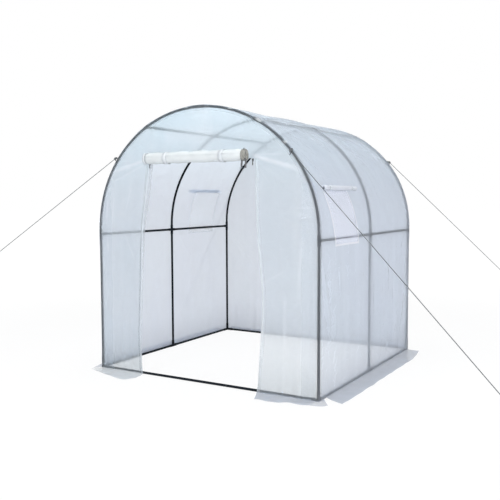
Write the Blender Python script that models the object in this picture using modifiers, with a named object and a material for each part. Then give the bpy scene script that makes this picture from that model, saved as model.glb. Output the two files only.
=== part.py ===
"""A walk-in tunnel greenhouse: three steel hoops, a film cover, a roll-up door and guy ropes.

Metres, +Z up. The doorway faces -Y, and the origin is on the ground in the middle.
"""

import math

import bmesh
import bpy
from mathutils import Euler, Vector

# Clearance between pieces that touch.
GAP = 0.0003

# Steel frame: hoops of straight legs and an elliptical arch, tied by rails.
HALF_WIDTH = 0.945          # middle of the tunnel to a leg's centreline
HALF_DEPTH = 0.919          # middle of the tunnel to the front or back hoop
SPRING_HEIGHT = 1.110       # where the legs end and the arch begins
ARCH_RISE = 0.890           # springing to the crown's centreline
PURLIN_ANGLE = math.radians(60)     # place of a roof purlin on the arch, from the springing
TUBE_RADIUS = 0.0095
ARCH_STEP = math.radians(3.75)      # facet of everything that follows the arch

# Sockets: sleeves that the tubes push into.
SOCKET_WALL = 0.0018
SLEEVE_RADIUS = TUBE_RADIUS + GAP + SOCKET_WALL
SLEEVE_STEP = 0.0002        # crossing sleeves differ by this much in radius
SOCKET_RADIUS = SLEEVE_RADIUS + 0.0004      # the ball in which the sleeves meet
BALL_TURN = Euler((0.4, 0.3, 0.2)).to_matrix().to_4x4()    # off the sleeves' facets
SOCKET_STOP = 0.015         # a tube's end stops this far from the socket's centre
ELBOW_REACH = 0.060         # sleeve of a corner elbow
TEE_REACH = 0.045           # sleeve of a base tee
HEAD_REACH = 0.040          # sleeve of a leg head or a purlin clip
RAIL_HEIGHT = SPRING_HEIGHT - HEAD_REACH    # side rails, in the leg heads
CLIP_REACH = 0.020          # half a purlin clip along its hoop
CLIP_SLACK = 0.0004         # a clip's straight bore on the curved arch
CROWN_SLEEVE = 0.050        # half the sleeve that joins a hoop's two halves
CROWN_SLEEVE_WALL = 0.0016
ROUND_SIDES = 16

# Film cover, carried by the sockets.
FILM = 0.002
FILM_IN = SOCKET_RADIUS + 0.0008    # tube centreline to the film's inner face
FILM_OUT = FILM_IN + FILM
SEAM_DROP = 0.110                   # side wall to roof, below the springing
SEAM_HEIGHT = SPRING_HEIGHT - SEAM_DROP
CROWN_SEAM = math.radians(45)       # roof side to roof crown
SEAM_ANGLE = GAP / HALF_WIDTH
END_WALL_INSET = 0.0008             # end wall's edge inside the roof film

# Doorway, a little wider at the ground.
DOOR_TOP = 1.620
DOOR_LEFT_TOP, DOOR_LEFT_FOOT = -0.466, -0.552
DOOR_RIGHT_TOP, DOOR_RIGHT_FOOT = 0.460, 0.508

# Door rolled up over the doorway.
ROLL_LEFT, ROLL_RIGHT = -0.497, 0.404
ROLL_RISE = 0.020           # its centre above the doorway's top
ROLL_RADIUS = 0.047
TIE_THICKNESS = 0.0020
TIE_WIDTH = 0.022
TIE_INSET = 0.022           # tie to the nearer end of the roll

# Windows: front bay on the right, rear bay on the left.
WINDOW_NEAR, WINDOW_FAR = 0.270, 0.668      # from the middle hoop
WINDOW_SILL = SPRING_HEIGHT - 0.080
WINDOW_HEAD = SPRING_HEIGHT + 0.295
NET = 0.001
NET_MARGIN = 0.012
FLAP_RADIUS = 0.018
FLAP_OVERHANG = 0.015

# Ground skirts, split at the corners. Each front flap has a tip by the doorway and one by
# the corner, so far outwards and forwards of the foot of the wall there.
SKIRT_WIDTH = 0.155
SKIRT_FLARE = 0.060         # how far a side skirt's ends are cut back
DOOR_TIPS = {"left": (-0.035, 0.215), "right": (0.065, 0.212)}
CORNER_TIPS = {"left": (0.042, 0.078), "right": (0.089, 0.061)}

# Guy ropes: where they leave the hoops and meet the ground.
ROPE_RADIUS = 0.0025
ROPE_SAG = 0.006            # share of the rope's span
ROPE_STEPS = 12
KNOT_RADIUS = 0.007
KNOT_LENGTH = 0.020
KNOT_SHOULDER = 0.2         # share of its length over which a knot swells
KNOT_END = 0.7              # radius of its ends, as a share
ROPE_ANGLES = {"front": {"left": 10 * ARCH_STEP, "right": 8 * ARCH_STEP},
               "back": {"left": 10 * ARCH_STEP, "right": 9 * ARCH_STEP}}
FRONT_PEG = Vector((2.680, -1.855, 0.0))
BACK_PEG = Vector((2.200, 1.905, 0.0))
PEG_RADIUS = 0.0035
PEG_HEIGHT = 0.055
PEG_HOOK = 0.012
PEG_TIE_HEIGHT = 0.030

SIDES = {"left": -1, "right": 1}
HOOPS = {"front": -HALF_DEPTH, "mid": 0.0, "back": HALF_DEPTH}
X, Y, Z = Vector((1, 0, 0)), Vector((0, 1, 0)), Vector((0, 0, 1))
BASE_HEIGHT = SOCKET_RADIUS         # centreline of the rails that lie on the ground


def clear_scene():
    for item in list(bpy.data.objects):
        bpy.data.objects.remove(item, do_unlink=True)


def new_collection(name):
    group = bpy.data.collections.new(name)
    bpy.context.scene.collection.children.link(group)
    return group


def make_material(name, colour, roughness, metallic=0.0, alpha=1.0):
    material = bpy.data.materials.new(name)
    material.use_nodes = True
    surface = material.node_tree.nodes["Principled BSDF"]
    surface.inputs["Base Color"].default_value = (*colour, 1.0)
    surface.inputs["Roughness"].default_value = roughness
    surface.inputs["Metallic"].default_value = metallic
    surface.inputs["Alpha"].default_value = alpha
    return material


clear_scene()
GREENHOUSE = new_collection("greenhouse")
STEEL = make_material("coated_steel", (0.060, 0.070, 0.078), 0.45, 0.6)
SOCKET = make_material("socket_steel", (0.045, 0.050, 0.055), 0.5, 0.5)
COVER = make_material("cover_film", (0.78, 0.82, 0.86), 0.35, alpha=0.5)
DOOR = make_material("door_film", (0.88, 0.89, 0.90), 0.4)
MESH = make_material("window_net", (0.80, 0.84, 0.88), 0.7, alpha=0.6)
STRAP = make_material("strap_webbing", (0.55, 0.53, 0.48), 0.8)
ROPE = make_material("guy_rope", (0.55, 0.56, 0.57), 0.8)
PEG = make_material("peg_steel", (0.35, 0.35, 0.36), 0.35, 1.0)


def add_object(name, data, material):
    item = bpy.data.objects.new(name, data)
    item.data.materials.clear()
    item.data.materials.append(material)
    GREENHOUSE.objects.link(item)
    return item


def shade_round(item):
    item.data.shade_smooth()
    item.data.set_sharp_from_angle(angle=math.radians(40))


def rod(name, start, end, radius, material=STEEL):
    """A round bar from start to end, with its origin at its middle."""
    start, end = Vector(start), Vector(end)
    shape = bmesh.new()
    bmesh.ops.create_cone(shape, cap_ends=True, segments=ROUND_SIDES, radius1=radius,
                          radius2=radius, depth=(end - start).length)
    data = bpy.data.meshes.new(name)
    shape.to_mesh(data)
    shape.free()
    item = add_object(name, data, material)
    item.location = (start + end) / 2
    item.rotation_euler = (end - start).to_track_quat("Z", "Y").to_euler()
    shade_round(item)
    return item


def bent_tube(name, points, radius, material=STEEL, swell=None, resolution=4):
    """A tube along points; swell gives each point's share of the radius."""
    data = bpy.data.curves.new(name, "CURVE")
    data.dimensions = "3D"
    data.bevel_depth = radius
    data.bevel_resolution = resolution
    data.use_fill_caps = True
    spline = data.splines.new("POLY")
    spline.points.add(len(points) - 1)
    for index, point in enumerate(points):
        spline.points[index].co = (*point, 1.0)
        spline.points[index].radius = swell[index] if swell else 1.0
    return add_object(name, data, material)


def solid_mesh(item):
    """A curve object made into a mesh object with its caps welded, for the Booleans."""
    bpy.context.view_layer.update()
    seen = item.evaluated_get(bpy.context.evaluated_depsgraph_get())
    data = bpy.data.meshes.new_from_object(seen)
    shape = bmesh.new()
    shape.from_mesh(data)
    bmesh.ops.remove_doubles(shape, verts=shape.verts, dist=0.00001)
    shape.to_mesh(data)
    shape.free()
    name, material, place = item.name, item.data.materials[0], item.matrix_world.copy()
    bpy.data.objects.remove(item, do_unlink=True)
    solid = add_object(name, data, material)
    solid.matrix_world = place
    return solid


def combine(target, tools, operation):
    """Unite target with tools, or cut them out of it, and remove the tools."""
    for tool in tools:
        step = target.modifiers.new(operation.lower(), "BOOLEAN")
        step.operation = operation
        step.object = tool
    bpy.context.view_layer.update()
    seen = target.evaluated_get(bpy.context.evaluated_depsgraph_get())
    data = bpy.data.meshes.new_from_object(seen)
    target.modifiers.clear()
    target.data = data
    for tool in tools:
        bpy.data.objects.remove(tool, do_unlink=True)
    shade_round(target)
    return target


def arch_point(angle, offset=0.0):
    """A point of the arch (x, z), offset outwards along its normal."""
    x, z = HALF_WIDTH * math.cos(angle), ARCH_RISE * math.sin(angle)
    normal = Vector((ARCH_RISE * math.cos(angle), HALF_WIDTH * math.sin(angle))).normalized()
    return x + offset * normal.x, SPRING_HEIGHT + z + offset * normal.y


def arch_normal(angle, side):
    normal = Vector((ARCH_RISE * math.cos(angle), 0, HALF_WIDTH * math.sin(angle))).normalized()
    return Vector((side * normal.x, 0, normal.z))


def arch_angle(height, offset=0.0):
    """The angle at which the arch, offset outwards, reaches a height."""
    low, high = 0.0, math.pi / 2
    for _ in range(40):
        middle = (low + high) / 2
        if arch_point(middle, offset)[1] < height:
            low = middle
        else:
            high = middle
    return (low + high) / 2


def arch_run(start, end, offset=0.0):
    """Points (x, z) of the arch between two angles, on facets that all pieces share."""
    first, last = math.ceil(start / ARCH_STEP + 0.01), math.floor(end / ARCH_STEP - 0.01)
    angles = [start] + [step * ARCH_STEP for step in range(first, last + 1)] + [end]
    return [arch_point(angle, offset) for angle in angles]


def clip_seat(side, y):
    """Middle and direction of the short straight stretch of an arch that carries a clip."""
    spread = CLIP_REACH / HALF_WIDTH
    ends = [arch_point(PURLIN_ANGLE + turn) for turn in (-spread, spread)]
    low, high = (Vector((side * x, y, z)) for x, z in ends)
    return (low + high) / 2, (high - low).normalized()


def socket(name, centre, runs, material=SOCKET, filled=()):
    """Sleeves that cross in a ball; each run is (axis, reach back, reach forward).

    Every sleeve is bored for the tube that it takes, but for the directions in filled.
    """
    centre = Vector(centre)
    sleeves, bores = [], []
    for index, (axis, back, forward) in enumerate(runs):
        sleeves.append(rod(f"{name}_sleeve", centre - axis * back, centre + axis * forward,
                           SLEEVE_RADIUS - index * SLEEVE_STEP))
        for direction, reach in ((-axis, back), (axis, forward)):
            if reach and direction not in filled:
                bores.append(rod(f"{name}_bore", centre + direction * SOCKET_STOP,
                                 centre + direction * (reach + GAP), TUBE_RADIUS + GAP))
    ball = bmesh.new()
    bmesh.ops.create_uvsphere(ball, u_segments=ROUND_SIDES + 2, v_segments=8,
                              radius=SOCKET_RADIUS, matrix=BALL_TURN)
    data = bpy.data.meshes.new(name)
    ball.to_mesh(data)
    ball.free()
    item = add_object(name, data, material)
    item.location = centre
    combine(item, sleeves, "UNION")
    return combine(item, bores, "DIFFERENCE")


def leg(row, side_name):
    """A leg tube with its head: a socket for the arch above and for the side rails."""
    name = f"leg_{row}_{side_name}"
    side, y = SIDES[side_name], HOOPS[row]
    head = Vector((side * HALF_WIDTH, y, RAIL_HEIGHT))
    rail_run = (Y, 0 if row == "front" else HEAD_REACH, 0 if row == "back" else HEAD_REACH)
    item = socket(name, head, [(Z, HEAD_REACH, HEAD_REACH), rail_run], STEEL, filled=(-Z,))
    foot = Vector((side * HALF_WIDTH, y, BASE_HEIGHT + SOCKET_STOP + GAP))
    stem = rod(f"{name}_stem", foot, head - Z * SOCKET_STOP / 2, TUBE_RADIUS)
    return combine(item, [stem], "UNION")


def hoop_arch(row):
    """The arched tube of a hoop, with the sleeve that joins its halves at the crown."""
    y = HOOPS[row]
    tail = RAIL_HEIGHT + SOCKET_STOP + GAP
    spread = (CLIP_REACH + GAP) / HALF_WIDTH
    right = arch_run(0, PURLIN_ANGLE - spread) + arch_run(PURLIN_ANGLE + spread, math.pi / 2)
    left = [(-x, z) for x, z in right[-2::-1]]
    path = [(HALF_WIDTH, y, tail)] + [(x, y, z) for x, z in right + left] + [(-HALF_WIDTH, y, tail)]
    item = solid_mesh(bent_tube(f"arch_{row}", path, TUBE_RADIUS, resolution=3))
    crown = Vector((0, y, SPRING_HEIGHT + ARCH_RISE))
    sag = CROWN_SLEEVE ** 2 / (2 * HALF_WIDTH)
    ends = [crown - Z * sag + X * CROWN_SLEEVE * end for end in (1, -1)]
    sleeve = solid_mesh(bent_tube(f"arch_{row}_sleeve", [ends[0], crown, ends[1]],
                                  TUBE_RADIUS + CROWN_SLEEVE_WALL, resolution=3))
    return combine(item, [sleeve], "UNION")


def build_feet():
    for side_name, side in SIDES.items():
        for row, inward in (("front", Y), ("back", -Y)):
            corner = Vector((side * HALF_WIDTH, HOOPS[row], BASE_HEIGHT))
            axes = (Z, -side * X, inward)
            socket(f"corner_elbow_{row}_{side_name}", corner,
                   [(axis, 0, ELBOW_REACH) for axis in axes])
        middle = Vector((side * HALF_WIDTH, 0, BASE_HEIGHT))
        socket(f"base_tee_{side_name}", middle, [(Z, 0, TEE_REACH), (Y, TEE_REACH, TEE_REACH)])


def build_rails():
    """Tubes on the ground and at shoulder height, each pushed into a socket at both ends."""
    end = SOCKET_STOP + GAP
    for row in ("front", "back"):
        rod(f"base_rail_{row}", (-HALF_WIDTH + end, HOOPS[row], BASE_HEIGHT),
            (HALF_WIDTH - end, HOOPS[row], BASE_HEIGHT), TUBE_RADIUS)
    for side_name, side in SIDES.items():
        for bay, near, far in (("front", "front", "mid"), ("rear", "mid", "back")):
            for kind, height in (("base_rail", BASE_HEIGHT), ("side_rail", RAIL_HEIGHT)):
                rod(f"{kind}_{side_name}_{bay}", (side * HALF_WIDTH, HOOPS[near] + end, height),
                    (side * HALF_WIDTH, HOOPS[far] - end, height), TUBE_RADIUS)


def clip(name, centre, along, back, forward):
    """A ring round an arch, with a sleeve along Y; along is the arch's direction there."""
    item = rod(name, centre - along * CLIP_REACH, centre + along * CLIP_REACH, SOCKET_RADIUS)
    arm = rod(f"{name}_arm", centre - Y * back, centre + Y * forward, SLEEVE_RADIUS)
    combine(item, [arm], "UNION")
    far = CLIP_REACH + GAP
    ring = rod(f"{name}_ring", centre - along * far, centre + along * far,
               TUBE_RADIUS + GAP + CLIP_SLACK)
    return combine(item, [ring], "DIFFERENCE")


def build_purlins():
    """Front purlins carry the clips of the front and middle hoops, rear ones the back clip."""
    root = TUBE_RADIUS + GAP + CLIP_SLACK + SOCKET_WALL / 2     # a tube's end in a ring's wall
    for side_name, side in SIDES.items():
        (front, along), (middle, _), (back, _) = (clip_seat(side, y) for y in HOOPS.values())

        name = f"purlin_{side_name}_front"
        item = clip(name, front, along, 0, HEAD_REACH)
        tube = rod(f"{name}_tube", front + Y * root, middle - Y * root, TUBE_RADIUS)
        mid_clip = clip(f"{name}_mid", middle, along, HEAD_REACH, HEAD_REACH)
        combine(item, [tube, mid_clip], "UNION")
        mouth = rod(f"{name}_mouth", middle + Y * SOCKET_STOP, middle + Y * (HEAD_REACH + GAP),
                    TUBE_RADIUS + GAP)
        combine(item, [mouth], "DIFFERENCE")

        name = f"purlin_{side_name}_rear"
        item = clip(name, back, along, HEAD_REACH, 0)
        tube = rod(f"{name}_tube", middle + Y * (SOCKET_STOP + GAP), back - Y * root, TUBE_RADIUS)
        combine(item, [tube], "UNION")


def film_sheet(name, profile, thickness=FILM, near=-(HALF_DEPTH + FILM_OUT),
               far=HALF_DEPTH + FILM_OUT, material=COVER):
    """A sheet along Y whose inner face follows profile (x, z), thickened outwards."""
    shape = bmesh.new()
    points = [shape.verts.new((x, near, z)) for x, z in profile]
    edges = [shape.edges.new(pair) for pair in zip(points, points[1:])]
    swept = bmesh.ops.extrude_edge_only(shape, edges=edges)["geom"]
    moved = [part for part in swept if isinstance(part, bmesh.types.BMVert)]
    bmesh.ops.translate(shape, verts=moved, vec=(0, far - near, 0))
    bmesh.ops.recalc_face_normals(shape, faces=shape.faces)
    face = max(shape.faces, key=lambda item: item.calc_area())
    middle = Vector((0, face.calc_center_median().y, SPRING_HEIGHT))
    if face.normal.dot(face.calc_center_median() - middle) < 0:
        bmesh.ops.reverse_faces(shape, faces=shape.faces)
    data = bpy.data.meshes.new(name)
    shape.to_mesh(data)
    shape.free()
    item = add_object(name, data, material)
    skin = item.modifiers.new("thickness", "SOLIDIFY")
    skin.thickness = thickness
    skin.offset = 1.0
    skin.use_even_offset = True
    return item


def box(name, low, high, material):
    low, high = Vector(low), Vector(high)
    shape = bmesh.new()
    bmesh.ops.create_cube(shape, size=1.0)
    bmesh.ops.scale(shape, vec=high - low, verts=shape.verts)
    data = bpy.data.meshes.new(name)
    shape.to_mesh(data)
    shape.free()
    item = add_object(name, data, material)
    item.location = (low + high) / 2
    return item


def flat_outline(name, outline, thickness, material):
    """A flat piece in its own XY plane, centred on that plane."""
    data = bpy.data.curves.new(name, "CURVE")
    data.dimensions = "2D"
    data.fill_mode = "BOTH"
    data.extrude = thickness / 2
    spline = data.splines.new("POLY")
    spline.points.add(len(outline) - 1)
    for point, (x, y) in zip(spline.points, outline):
        point.co = (x, y, 0, 1)
    spline.use_cyclic_u = True
    return add_object(name, data, material)


def wall_panel(name, outline, row):
    """An upright film panel from an outline (x, z), on the outside of a hoop."""
    item = flat_outline(name, outline, FILM, COVER)
    outward = -1 if row == "front" else 1
    item.rotation_euler = (math.radians(90), 0, 0)
    item.location = (0, HOOPS[row] + outward * (FILM_IN + FILM / 2), 0)
    return item


def build_end_walls():
    """End walls fit inside the roof film and stand on the skirts."""
    edge = FILM_IN - END_WALL_INSET
    foot = FILM + GAP
    side = HALF_WIDTH + edge
    whole = [(side, foot)] + arch_run(0, math.pi, edge) + [(-side, foot)]
    wall_panel("back_wall", whole, "back")

    top_angle = arch_angle(DOOR_TOP + GAP / 2, edge)
    wall_panel("front_gable", arch_run(top_angle, math.pi - top_angle, edge), "front")

    low_angle = arch_angle(DOOR_TOP - GAP / 2, edge)
    shoulder = arch_run(0, low_angle, edge)
    right = [(side, foot)] + shoulder + [(DOOR_RIGHT_TOP, shoulder[-1][1]),
                                         (DOOR_RIGHT_FOOT, foot)]
    wall_panel("front_wall_right", right, "front")
    left = [(-side, foot)] + [(-x, z) for x, z in shoulder]
    left += [(DOOR_LEFT_TOP, shoulder[-1][1]), (DOOR_LEFT_FOOT, foot)]
    wall_panel("front_wall_left", left[::-1], "front")


def window_span(side):
    """The window's front and back edges: front bay on the right, rear bay on the left."""
    return (-WINDOW_FAR, -WINDOW_NEAR) if side > 0 else (WINDOW_NEAR, WINDOW_FAR)


def build_sides_and_roof():
    wall = HALF_WIDTH + FILM_IN
    for side_name, side in SIDES.items():
        inner, outer = sorted((side * wall, side * (wall + FILM)))
        edge = HALF_DEPTH + FILM_OUT
        box(f"side_wall_{side_name}", (inner, -edge, FILM + GAP), (outer, edge, SEAM_HEIGHT), COVER)

        profile = [(wall, SEAM_HEIGHT + GAP)] + arch_run(0, CROWN_SEAM - SEAM_ANGLE, FILM_IN)
        item = film_sheet(f"roof_{side_name}", [(side * x, z) for x, z in profile])
        near, far = window_span(side)
        inner, outer = sorted((side * HALF_WIDTH / 2, side * HALF_WIDTH * 1.2))
        opening = box(f"roof_{side_name}_window", (inner, near, WINDOW_SILL),
                      (outer, far, WINDOW_HEAD), COVER)
        combine(item, [opening], "DIFFERENCE")
    film_sheet("roof_crown", arch_run(CROWN_SEAM, math.pi - CROWN_SEAM, FILM_IN))


def build_windows():
    """A net behind each window and the flap rolled up above it."""
    net_in = FILM_IN - GAP - NET
    for side_name, side in SIDES.items():
        near, far = window_span(side)
        top = math.ceil(arch_angle(WINDOW_HEAD + NET_MARGIN) / ARCH_STEP) * ARCH_STEP
        profile = [(HALF_WIDTH + net_in, WINDOW_SILL - NET_MARGIN)] + arch_run(0, top, net_in)
        film_sheet(f"window_net_{side_name}", [(side * x, z) for x, z in profile], NET,
                   near - NET_MARGIN, far + NET_MARGIN, MESH)
        angle = arch_angle(WINDOW_HEAD)
        x, z = arch_point(angle, FILM_OUT + GAP + FLAP_RADIUS)
        rod(f"window_flap_{side_name}", (side * x, near - FLAP_OVERHANG, z),
            (side * x, far + FLAP_OVERHANG, z), FLAP_RADIUS, DOOR)


def build_door():
    """The door rolled up against the gable, held by two ties."""
    face = -(HALF_DEPTH + FILM_OUT)
    tie_in = ROLL_RADIUS + 2 * GAP      # its facets line up with the roll's
    tie_out = tie_in + TIE_THICKNESS
    y = face - GAP - tie_out
    z = DOOR_TOP + ROLL_RISE
    rod("door_roll", (ROLL_LEFT, y, z), (ROLL_RIGHT, y, z), ROLL_RADIUS, DOOR)
    for side_name, x in (("left", ROLL_LEFT + TIE_INSET), ("right", ROLL_RIGHT - TIE_INSET)):
        ends = [Vector((x + end * TIE_WIDTH / 2, y, z)) for end in (-1, 1)]
        band = rod(f"door_tie_{side_name}", *ends, tie_out, STRAP)
        hole = rod(f"door_tie_{side_name}_hole", ends[0] - X * GAP, ends[1] + X * GAP, tie_in)
        combine(band, [hole], "DIFFERENCE")


def skirt(name, outline):
    item = flat_outline(name, outline, FILM, COVER)
    item.location.z = FILM / 2
    return item


def build_skirts():
    """Flaps on the ground, split at the corners and at the doorway."""
    wall_x, wall_y = HALF_WIDTH + FILM_IN, HALF_DEPTH + FILM_IN
    outer_x, outer_y = wall_x + SKIRT_WIDTH, wall_y + SKIRT_WIDTH
    corner_y = wall_y - SKIRT_FLARE
    for side_name, side in SIDES.items():
        run = [(wall_x, -corner_y), (outer_x, -wall_y), (outer_x, wall_y), (wall_x, corner_y)]
        run = [(side * x, y) for x, y in run]
        skirt(f"skirt_{side_name}", run if side > 0 else run[::-1])
        door_foot = DOOR_RIGHT_FOOT if side > 0 else -DOOR_LEFT_FOOT
        corner = wall_x + FILM
        (door_out, door_front), (corner_out, corner_front) = (
            DOOR_TIPS[side_name], CORNER_TIPS[side_name])
        flap = [(door_foot, -wall_y), (door_foot + door_out, -wall_y - door_front),
                (corner + corner_out, -wall_y - corner_front), (corner, -wall_y)]
        flap = [(side * x, y) for x, y in flap]
        skirt(f"skirt_front_{side_name}", flap if side > 0 else flap[::-1])
    back = [(-wall_x - FILM, wall_y), (wall_x + FILM, wall_y),
            (wall_x + SKIRT_FLARE, outer_y), (-wall_x - SKIRT_FLARE, outer_y)]
    skirt("skirt_back", back)


def peg_and_rope(row, side_name, peg):
    side, angle = SIDES[side_name], ROPE_ANGLES[row][side_name]
    place = Vector((side * peg.x, peg.y, 0))

    # The peg: a stem with a hook turned away from the greenhouse.
    outward = Vector((place.x, place.y, 0)).normalized()
    stem_top = place + Z * PEG_HEIGHT
    path = [place.copy(), place + Z * PEG_HEIGHT / 2]
    for step in range(9):
        turn = math.pi * step / 8
        across = outward * PEG_HOOK * (1 - math.cos(turn))
        path.append(stem_top + across + Z * PEG_HOOK * math.sin(turn))
    path.append(path[-1] - Z * PEG_HOOK)
    bent_tube(f"peg_{row}_{side_name}", path, PEG_RADIUS, PEG, resolution=2)

    # The rope: from a knot on the roof film over the hoop to a knot at the peg's stem.
    x, z = arch_point(angle)
    hoop = Vector((side * x, HOOPS[row], z))
    normal = arch_normal(angle, side)
    line = (place + Z * PEG_TIE_HEIGHT - hoop).normalized()
    lean = abs(line.dot(normal))
    flat = math.sqrt(1 - lean ** 2) * KNOT_RADIUS
    stand_off = max(lean * KNOT_LENGTH / 2 + flat * KNOT_END,
                    lean * KNOT_LENGTH * (0.5 - KNOT_SHOULDER) + flat)
    knot = hoop + normal * (FILM_OUT + GAP + stand_off)
    start = knot - line * KNOT_LENGTH / 2
    inward = Vector((hoop.x - place.x, hoop.y - place.y, 0)).normalized()
    reach = PEG_RADIUS + GAP + abs(line.z) * KNOT_RADIUS * KNOT_END
    end = place + inward * reach + Z * PEG_TIE_HEIGHT
    span = end - start
    knot_share = KNOT_LENGTH / span.length
    knot_stops = [0, knot_share * KNOT_SHOULDER, knot_share * (1 - KNOT_SHOULDER), knot_share]
    stops = knot_stops + [step / ROPE_STEPS for step in range(1, ROPE_STEPS)]
    stops += [1 - stop for stop in reversed(knot_stops)]
    bulge = KNOT_RADIUS / ROPE_RADIUS
    knot_swell = [bulge * KNOT_END, bulge, bulge, 1.0]
    swell = knot_swell + [1.0] * (ROPE_STEPS - 1) + knot_swell[::-1]
    sag = ROPE_SAG * span.length
    points = [start + span * share - Z * sag * 4 * share * (1 - share) for share in stops]
    bent_tube(f"guy_rope_{row}_{side_name}", points, ROPE_RADIUS, ROPE, swell, resolution=2)


for hoop_row in HOOPS:
    hoop_arch(hoop_row)
    for hoop_side in SIDES:
        leg(hoop_row, hoop_side)
build_feet()
build_rails()
build_purlins()
build_end_walls()
build_sides_and_roof()
build_windows()
build_door()
build_skirts()
for rope_side in SIDES:
    peg_and_rope("front", rope_side, FRONT_PEG)
    peg_and_rope("back", rope_side, BACK_PEG)
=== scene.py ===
"""A walk-in tunnel greenhouse: a clear film cover on coated steel hoops, with a door rolled up
at the front, a net window on each side, ground flaps and guy ropes."""

import math

import bpy
import numpy as np
from mathutils import Matrix, Vector


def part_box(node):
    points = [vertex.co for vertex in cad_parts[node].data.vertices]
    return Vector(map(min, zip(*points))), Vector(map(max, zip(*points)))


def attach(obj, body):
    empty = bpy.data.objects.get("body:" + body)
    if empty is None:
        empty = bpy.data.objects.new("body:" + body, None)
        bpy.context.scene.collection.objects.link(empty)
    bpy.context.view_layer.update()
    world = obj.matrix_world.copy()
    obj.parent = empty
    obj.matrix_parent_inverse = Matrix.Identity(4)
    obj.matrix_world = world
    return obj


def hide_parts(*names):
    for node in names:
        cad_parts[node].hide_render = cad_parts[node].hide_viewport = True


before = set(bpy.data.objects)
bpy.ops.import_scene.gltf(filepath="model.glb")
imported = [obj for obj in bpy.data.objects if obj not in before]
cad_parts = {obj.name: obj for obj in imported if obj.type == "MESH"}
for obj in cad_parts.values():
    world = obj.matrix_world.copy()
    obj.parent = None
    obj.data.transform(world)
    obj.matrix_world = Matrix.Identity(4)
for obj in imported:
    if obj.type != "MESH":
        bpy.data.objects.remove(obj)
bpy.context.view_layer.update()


# ---------------------------------------------------------------- sizes, in metres

def low(node):
    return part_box(node)[0]


def high(node):
    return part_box(node)[1]


def middle(node):
    """The middle of a node's box."""
    return [(a + b) / 2 for a, b in zip(*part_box(node))]


TUBE = 0.0095                 # radius of the frame's tubes
FILM_OUT = 0.0148             # a hoop's centreline to the cover's outer face
FILM = 0.0107                 # and to the film where it lies on a tube
BULGE = 0.0024                # how much more it stands off over a socket
HALF_WIDTH = high("arch_mid").x - TUBE
HALF_DEPTH = middle("arch_back")[1]
SPRING = high("leg_mid_right").z
RISE = high("roof_crown").z - FILM_OUT - SPRING
HOOPS = {"front": -HALF_DEPTH, "mid": 0.0, "back": HALF_DEPTH}
SIDES = {"left": -1, "right": 1}
FRONT = -(HALF_DEPTH + FILM)  # the front film's plane
BACK = HALF_DEPTH + FILM
FOOT_Z = 0.004                # where the walls end, on the flaps
RAIL_Z = middle("side_rail_left_front")[2]
PURLIN_X = 0.4725
PURLIN_Z = low("purlin_left_front").z + TUBE
HOOP_REACH = 0.91             # from the middle of an end wall to its hoop, taken all round
CROWN_GAP = 0.012             # an end wall's topmost row is this far down the hoop

DOOR_TOP = high("front_wall_left").z
ROLL = middle("door_roll")
ROLL_LEFT = low("door_roll").x + 0.052      # it is rolled a little askew
ROLL_RIGHT = high("door_roll").x + 0.016
ROLL_RADIUS = (high("door_roll").z - low("door_roll").z) / 2

LEAN = 0.16, 0.30             # how far the left and the right window lean, as a slope
NET_MARGIN = 0.012            # a window's opening lies this far inside its net
HEAD_RISE = 0.006             # and ends this far above the lowest point of its rolled flap
WINDOW_HEM = 0.012            # width of the hem round a window, outside its opening
HEM_OVERLAP = 0.002           # and inside it
HEM_START = FILM + 0.011      # the front hem's outer edge, in from the cover
STITCH = 0.0042, 0.0011, 0.0010             # a stitch's length, width and height
STITCH_STEP = 0.0075
TOOTH = 0.0020, 0.0034, 0.0016              # a zip tooth's
TOOTH_STEP = 0.0030
ROPE_RADIUS = 0.0025
ROPE_LAY = 0.016              # length of one full turn of a rope's strands
STEP = 0.014                  # size of the film's faces


# ---------------------------------------------------------------- finishes

class Wire:
    """A shader socket that takes part in Python arithmetic."""

    def __init__(self, finish, socket):
        self.finish, self.socket = finish, socket

    def math(self, operation, *others):
        """A Math node that takes this socket first."""
        return self.finish.node("Math", {"operation": operation},
                                dict(enumerate((self,) + others)))

    def __add__(self, other):
        return self.math("ADD", other)

    def __sub__(self, other):
        return self.math("SUBTRACT", other)

    def __rsub__(self, other):
        return self.finish.node("Math", {"operation": "SUBTRACT"}, {0: other, 1: self})

    def __mul__(self, other):
        return self.math("MULTIPLY", other)

    __radd__, __rmul__ = __add__, __mul__

    def between(self, start, end):
        """0 below start and 1 above end, with a smooth slope."""
        return self.finish.node("MapRange", {"interpolation_type": "SMOOTHSTEP"},
                                {"Value": self, "From Min": start, "From Max": end})


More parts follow.
